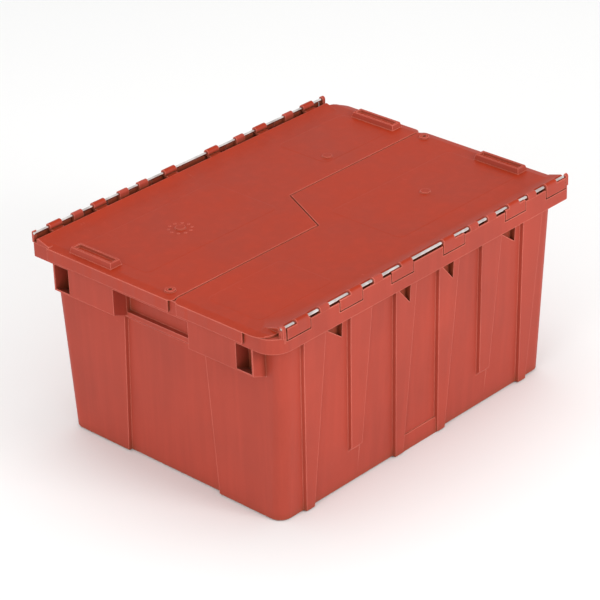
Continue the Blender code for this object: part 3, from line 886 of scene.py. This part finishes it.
def add_straps(joined, cut, turn):
    """Each strap is a bridge from the crown, a barrel round the rod and a flap outside the rim."""
    for centre, barrel in STRAPS:
        start = barrel - BARREL_WIDTH / 2
        end = barrel + BARREL_WIDTH / 2
        bridge = block(start + BRIDGE_INSET, end - BRIDGE_INSET, -AXIS_Y, -LEAF_EDGE + BRIDGE_ROOT,
                       BRIDGE_FOOT, BRIDGE_TOP)
        helper("bridge", bridge, joined, turn)
        helper("barrel", rod_cylinder(BARREL_RADIUS, start, end, BARREL_STEPS), joined, turn)
        inner = -AXIS_Y - FLAP_INNER
        outer = -AXIS_Y - BARREL_RADIUS
        flap = block(centre - STRAP_WIDTH / 2, min(centre + STRAP_WIDTH / 2, FLAP_END),
                     outer, inner, AXIS_Z - FLAP_DROP, AXIS_Z - FLAP_LAP)
        helper("flap", flap, joined, turn)
    helper("barrel_bore", rod_cylinder(BARREL_BORE, ROD_START, ROD_END), cut, turn)


def add_lug(joined, cut, side, turn):
    """A raised oblong frame that keys the tote stacked above; side is -1 near, 1 far."""
    x = side * LUG_X
    top = LEAF_TOP + LUG_HEIGHT

    def ring(inset, z):
        half_x = LUG_WIDTH / 2 - inset
        half_y = LUG_LENGTH / 2 - inset
        corners = ((-1, -1), (1, -1), (1, 1), (-1, 1))
        return [(x + sx * half_x, sy * half_y - LUG_Y, z) for sx, sy in corners]

    foot = LEAF_SHOULDER_FOOT + 2 * LEAF_LAP
    helper("lug", loft([ring(0.0, foot), ring(0.0, LEAF_TOP), ring(LUG_DRAFT, top)]), joined, turn)
    well = loft([ring(LUG_WALL + LUG_DRAFT, top - LUG_WELL), ring(LUG_WALL, top + LUG_DRAFT)])
    helper("lug_well", well, cut, turn)


def soft_pad(x0, x1, y0, y1):
    """A very low pad with large corners and a sloped border."""
    half_x = (x1 - x0) / 2
    half_y = (y1 - y0) / 2
    outline = rounded_box(half_x, half_y, PAD_CORNER, PAD_CORNER)
    middle = Vector(((x0 + x1) / 2, (y0 + y1) / 2))
    placed = [(x + middle.x, y + middle.y) for x, y in outline]
    top = inset_outline(placed, PAD_BORDER)
    rings = ((placed, LEAF_TOP - LEAF_LAP), (placed, LEAF_TOP), (top, LEAF_TOP + PAD_HEIGHT))
    return loft([at_height(points, z) for points, z in rings])


def add_trim(joined, turn, ring):
    """Low pads, and on one leaf a ring of dots round a button."""
    for pad in PADS:
        helper("pad", soft_pad(*pad), joined, turn)
    top = LEAF_TOP + PAD_HEIGHT + DOT_HEIGHT
    for i in range(DOT_COUNT if ring else 0):
        angle = 2 * math.pi * i / DOT_COUNT
        x = BUTTON_X + DOT_RING * math.cos(angle)
        y = -BUTTON_Y + DOT_RING * math.sin(angle)
        dot = prism_z(disc(x, y, DOT_RADIUS, DOT_STEPS), LEAF_TOP - LEAF_LAP, top)
        helper("dot", dot, joined, turn)


def lid_leaf(name, node, body, material, turn, lugs, buttons, ring):
    joined = helper_collection(name + "_joined")
    cut = helper_collection(name + "_cut")
    add_leaf_shell(joined, turn)
    add_straps(joined, cut, turn)
    for side in lugs:
        add_lug(joined, cut, side, turn)
    for side in buttons:
        button = prism_z(disc(side * BUTTON_X, -BUTTON_Y, BUTTON_RADIUS), LEAF_TOP - LEAF_LAP,
                         LEAF_TOP + BUTTON_HEIGHT)
        helper("button", button, joined, turn)
    ex, ey = EYELET
    eyelet = prism_z(disc(ex, ey, EYELET_RADIUS), LEAF_TOP - LEAF_LAP, LEAF_TOP + EYELET_HEIGHT)
    helper("eyelet", eyelet, joined, turn)
    bore = prism_z(disc(ex, ey, EYELET_BORE, EYELET_BORE_STEPS), LEAF_FOOT - CUT_CLEAR,
                   LEAF_TOP + CUT_CLEAR)
    helper("eyelet_bore", bore, cut, turn)
    add_trim(joined, turn, ring)
    plate = leaf_plate()
    plate.transform(turn)
    leaf = mesh_object(name, plate, bpy.context.scene.collection)
    combine(leaf, joined, cut)
    finish_piece(leaf, material, body, node)


def hinge_rod(name, node, material, turn):
    """Plain wire with softly rounded ends."""
    bm = rod_cylinder(ROD_RADIUS, ROD_START, ROD_END, ROD_STEPS)
    bm.transform(turn)
    rod = mesh_object(name, bm, bpy.context.scene.collection)
    round_edges(rod, ROD_EDGE)
    finish_piece(rod, material, "tub", node)


# Camera and studio

def make_camera():
    a = math.radians(AZIMUTH)
    e = math.radians(ELEVATION)
    r = math.radians(ROLL)
    back = Vector((math.sin(a) * math.cos(e), -math.cos(a) * math.cos(e), math.sin(e)))
    right = Vector((math.cos(a), math.sin(a), 0.0))
    up = back.cross(right)
    right, up = right * math.cos(r) + up * math.sin(r), up * math.cos(r) - right * math.sin(r)
    rotation = Matrix((right, up, back)).transposed().to_4x4()
    data = bpy.data.cameras.new("camera")
    data.lens = LENS
    data.sensor_width = SENSOR
    camera = bpy.data.objects.new("camera", data)
    camera.matrix_world = Matrix.Translation(TARGET + back * DISTANCE) @ rotation
    bpy.context.scene.collection.objects.link(camera)
    bpy.context.scene.camera = camera


def area_light(name, place, size, power):
    data = bpy.data.lights.new(name, "AREA")
    data.shape = "DISK"
    data.size = size
    data.energy = power
    data.color = WHITE
    light = bpy.data.objects.new(name, data)
    direction = Vector((0.0, 0.0, AIM_HEIGHT)) - Vector(place)
    light.rotation_euler = direction.to_track_quat("-Z", "Y").to_euler()
    light.location = place
    bpy.context.scene.collection.objects.link(light)


def make_floor():
    """A pale floor just under the tote, which takes no part in the object."""
    mesh = bpy.data.meshes.new("floor")
    half = FLOOR_HALF
    corners = [(-half, -half, 0.0), (half, -half, 0.0), (half, half, 0.0), (-half, half, 0.0)]
    mesh.from_pydata(corners, [], [(0, 1, 2, 3)])
    floor = bpy.data.objects.new("floor", mesh)
    floor.location.z = CAD_BOX[0][2] - FLOOR_DROP
    material = bpy.data.materials.new("floor_pale")
    material.use_nodes = True
    shader = material.node_tree.nodes["Principled BSDF"]
    shader.inputs["Base Color"].default_value = (*FLOOR_COLOUR, 1.0)
    shader.inputs["Roughness"].default_value = FLOOR_ROUGHNESS
    mesh.materials.append(material)
    bpy.context.scene.collection.objects.link(floor)


def make_studio():
    make_floor()
    world = bpy.data.worlds.new("studio")
    world.use_nodes = True
    background = world.node_tree.nodes["Background"]
    background.inputs["Color"].default_value = (*WHITE, 1.0)
    background.inputs["Strength"].default_value = WORLD_STRENGTH
    bpy.context.scene.world = world
    for name, place, size, power in LIGHTS:
        area_light(name, place, size, power)
    bpy.context.scene.view_settings.view_transform = "Standard"


make_camera()
make_studio()
tote_body(moulded_plastic("body_red", BODY_RED, BODY_RED, BODY_GRAIN, BODY_GLOSS))
lid_red = moulded_plastic("lid_red", LID_RED, BODY_RED, LID_GRAIN, LID_GLOSS)
lid_leaf("front_leaf_moulding", "lid_front", "front_leaf", lid_red, NO_TURN,
         lugs=(1,), buttons=(1,), ring=False)
lid_leaf("back_leaf_moulding", "lid_back", "back_leaf", lid_red, HALF_TURN,
         lugs=(-1, 1), buttons=(-1, 1), ring=True)
steel = drawn_steel("rod_steel")
hinge_rod("front_rod_wire", "hinge_rod_front", steel, NO_TURN)
hinge_rod("back_rod_wire", "hinge_rod_back", steel, HALF_TURN)
